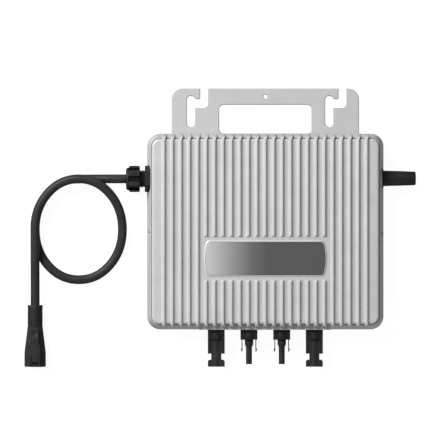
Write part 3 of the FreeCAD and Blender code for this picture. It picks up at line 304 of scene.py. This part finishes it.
def sheet_metal():
    """Rolled sheet with a faint grain along its length."""
    s = Surface("sheet_metal", metallic=0.25, roughness=0.45, specular=0.3)
    grain = s.noise(0.25 * MM, place=s.stretched((0.04, 1.0, 1.0)))
    broad = s.noise(30 * MM, detail=2.0)
    colour = s.times(s.between(grain, 0.342, 0.382), s.between(broad, 0.96, 1.0))
    colour = s.mix(s.worn_edges(0.3 * MM, METAL_WEAR), colour, RUBBED_METAL)
    s.round_edges(0.2 * MM)
    s.bump(grain, depth=0.008 * MM, strength=0.5)
    return s.finish(colour, s.between(grain, 0.38, 0.46))


# painted reflection along the badge: (share of the badge's length from its left end, tone)
BADGE_PAINTED_REFLECTION = [(0.0, 0.43), (0.21, 0.235), (0.38, 0.112), (0.52, 0.072)]


def badge_metal():
    """Brushed badge with a painted reflection that fades from silver at its left end to dark grey."""
    low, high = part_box("badge")
    s = Surface("badge_metal", metallic=0.35, roughness=0.36, specular=0.3)
    across = s.node("ShaderNodeSeparateXYZ")
    s.link(s.place, across.inputs[0])
    # painted reflection: silver at the left end, dark grey towards the right
    painted_reflection = s.ramp(s.share(across.outputs["X"], low.x, high.x), BADGE_PAINTED_REFLECTION)
    grain = s.noise(0.18 * MM, detail=2.0, place=s.stretched((0.03, 1.0, 1.0)))
    colour = s.times(painted_reflection, s.between(grain, 0.92, 1.0))
    s.round_edges(0.15 * MM)
    s.bump(grain, depth=0.004 * MM, strength=0.4)
    return s.finish(colour, s.between(grain, 0.30, 0.38))


MOULDED_WEAR = 0.25              # how much of the rubbed tone shows on the sharpest edges
MOULDED_RUBBED = 2.2             # the rubbed tone, in times the lighter tone
MOULDED_SPREAD = 0.06            # how far the grain moves the roughness down and up


def moulded(name, dark, light, roughness, grain_mm, depth_mm, pocket_shade=None):
    """Moulded plastic or rubber with the fine texture of its tool, and painted shade in its grooves.

    Its last argument, when given, is (node, radius, depth) of a piece that lies along X: painted shade
    darkens it inside that radius.
    """
    s = Surface(name, roughness=roughness, specular=0.08)
    fine = s.noise(grain_mm * MM)
    colour = s.mix(s.patches(9 * MM), dark, light)
    rubbed = tuple(MOULDED_RUBBED * part for part in light)
    colour = s.mix(s.worn_edges(0.3 * MM, MOULDED_WEAR), colour, rubbed)
    # painted shade darkens the colour in grooves and recesses
    colour = s.times(colour, s.painted_recess_shade())
    # painted shade inside the pockets' radius
    if pocket_shade:
        colour = s.times(colour, s.painted_pocket_shade(*pocket_shade))
    s.round_edges(0.2 * MM)
    s.bump(fine, depth=depth_mm * MM, strength=0.6)
    return s.finish(colour, s.between(fine, roughness - MOULDED_SPREAD, roughness + MOULDED_SPREAD))


POLISHED, DULLED = 0.05, 0.08    # how far bare metal's roughness goes down and up with its grain


def turned_metal(name, dark, light, roughness):
    """Bare metal in two tones, turned, drawn or stamped."""
    s = Surface(name, metallic=1.0, roughness=roughness)
    fine = s.noise(0.2 * MM)
    colour = s.mix(s.patches(3 * MM), dark, light)
    s.round_edges(0.12 * MM)
    s.bump(fine, depth=0.004 * MM, strength=0.5)
    return s.finish(colour, s.between(fine, roughness - POLISHED, roughness + DULLED))


# Slot: (darker tone, lighter tone, roughness, grain size in mm, grain depth in mm)
MOULDED_SLOTS = {
    "black_plastic": (grey(0.013), grey(0.018), 0.46, 0.25, 0.02),
    "antenna_plastic": (grey(0.009), grey(0.012), 0.42, 0.2, 0.012),
    "carrier_plastic": ((0.040, 0.040, 0.043), (0.050, 0.050, 0.055), 0.5, 0.3, 0.02),
    "cable_jacket": (grey(0.016), grey(0.021), 0.42, 0.3, 0.02),
    "rubber": (grey(0.020), grey(0.028), 0.7, 0.2, 0.02),
    "adhesive": ((0.55, 0.55, 0.52), (0.62, 0.62, 0.60), 0.4, 0.4, 0.01),
    "core_insulation": ((0.25, 0.10, 0.05), (0.30, 0.13, 0.06), 0.4, 0.4, 0.01),
    "board_laminate": ((0.01, 0.14, 0.06), (0.02, 0.19, 0.08), 0.35, 0.6, 0.01),
    "ferrite": ((0.05, 0.05, 0.052), (0.07, 0.07, 0.072), 0.65, 0.3, 0.03),
    "capacitor_sleeve": ((0.02, 0.04, 0.10), (0.03, 0.05, 0.13), 0.3, 0.5, 0.01),
    "film_case": ((0.50, 0.36, 0.06), (0.58, 0.43, 0.09), 0.35, 0.5, 0.01),
    "relay_case": (grey(0.03), grey(0.045), 0.35, 0.5, 0.01),
    "chip_case": (grey(0.02), grey(0.028), 0.55, 0.2, 0.02),
    "thermal_gel": ((0.35, 0.40, 0.45), (0.42, 0.47, 0.52), 0.7, 0.4, 0.02),
}
# Slot: (darker tone, lighter tone, roughness)
METAL_SLOTS = {
    "steel": ((0.50, 0.50, 0.51), (0.60, 0.60, 0.61), 0.28),
    "contact_metal": ((0.62, 0.60, 0.56), (0.74, 0.71, 0.66), 0.3),
    "gold_metal": ((0.78, 0.56, 0.22), (0.88, 0.68, 0.32), 0.25),
    "copper_winding": ((0.60, 0.26, 0.12), (0.74, 0.36, 0.18), 0.32),
    "shield_can": ((0.55, 0.55, 0.53), (0.66, 0.66, 0.64), 0.35),
}
GLAND_POCKET_SHADE = ("gland_dome_nut", 11.2 * MM, 1.0 * MM)      # painted shade in the nut's pockets: radius outside them, and their depth


def slot_materials():
    """One material for each of the record's slots, and one for the nut with painted shade in its pockets.
    """
    made = {"casing_metal": cast_metal(), "sheet_metal": sheet_metal(), "badge_metal": badge_metal()}
    for slot, values in MOULDED_SLOTS.items():
        made[slot] = moulded(slot, *values)
    for slot, values in METAL_SLOTS.items():
        made[slot] = turned_metal(slot, *values)
    # the gland nut's material: black plastic with painted shade in its pockets
    nut = "gland_nut_painted_shade"
    made[nut] = moulded(nut, *MOULDED_SLOTS["black_plastic"], pocket_shade=GLAND_POCKET_SHADE)
    return made


MATERIALS = slot_materials()


def dress(piece, material_name):
    piece.data.materials.clear()
    piece.data.materials.append(MATERIALS[material_name])


for subpart in frame["record"]["subparts"]:
    dress(NODES[subpart["node"]], subpart["material_slot"])
# the gland nut gets the material with painted shade in its pockets
dress(NODES["gland_dome_nut"], "gland_nut_painted_shade")
dress(cable, "cable_jacket")


# ---- floor and light: sizes in metres, powers in watts ---------------------------------------------------
FLOOR_HALF = 6.0
FLOOR_GAP = 0.02 * MM            # below the object, so that their faces don't coincide
FLOOR_GLOW = 0.93                # light of its own, which keeps it nearly white around the object
FLOOR_TONES = (0.115, 0.125)     # dark enough that only a faint shadow shows on the glow
SKY = 0.40                       # strength of the even white light from all round
LIGHT_SIZE = 1.2
KEY_PLACE, KEY_POWER = (-1.464, 1.318, 1.539), 142.0         # from the hanger's left
FILL_PLACE, FILL_POWER = (0.25, -2.2, 0.85), 14.0            # weak, from the connectors' end


def make_floor():
    mesh = bpy.data.meshes.new("floor")
    half = FLOOR_HALF
    corners = [(-half, -half, 0), (half, -half, 0), (half, half, 0), (-half, half, 0)]
    mesh.from_pydata(corners, [], [(0, 1, 2, 3)])
    floor = bpy.data.objects.new("floor", mesh)
    floor.location.z = cad_box[0].z - FLOOR_GAP
    bpy.context.scene.collection.objects.link(floor)
    s = Surface("floor", roughness=0.8, specular=0.2)
    s.shader.inputs["Emission Color"].default_value = (1, 1, 1, 1)
    s.shader.inputs["Emission Strength"].default_value = FLOOR_GLOW
    mesh.materials.append(s.finish(s.between(s.noise(0.4, detail=2.0), *FLOOR_TONES)))
    # The object neither mirrors the glow nor is lit by it.
    floor.visible_glossy = False
    floor.visible_diffuse = False


def area_light(name, place, power):
    """A square light that faces the origin."""
    data = bpy.data.lights.new(name, "AREA")
    data.shape = "SQUARE"
    data.size = LIGHT_SIZE
    data.energy = power
    light = bpy.data.objects.new(name, data)
    light.location = place
    light.rotation_mode = "QUATERNION"
    light.rotation_quaternion = (-Vector(place)).to_track_quat("-Z", "Y")
    bpy.context.scene.collection.objects.link(light)


def make_light():
    world = bpy.data.worlds.new("world")
    world.use_nodes = True
    background = world.node_tree.nodes["Background"]
    background.inputs["Color"].default_value = (1.0, 1.0, 1.0, 1.0)
    background.inputs["Strength"].default_value = SKY
    bpy.context.scene.world = world
    area_light("key", KEY_PLACE, KEY_POWER)
    area_light("fill", FILL_PLACE, FILL_POWER)
    bpy.context.scene.view_settings.view_transform = "Standard"


make_floor()
make_light()
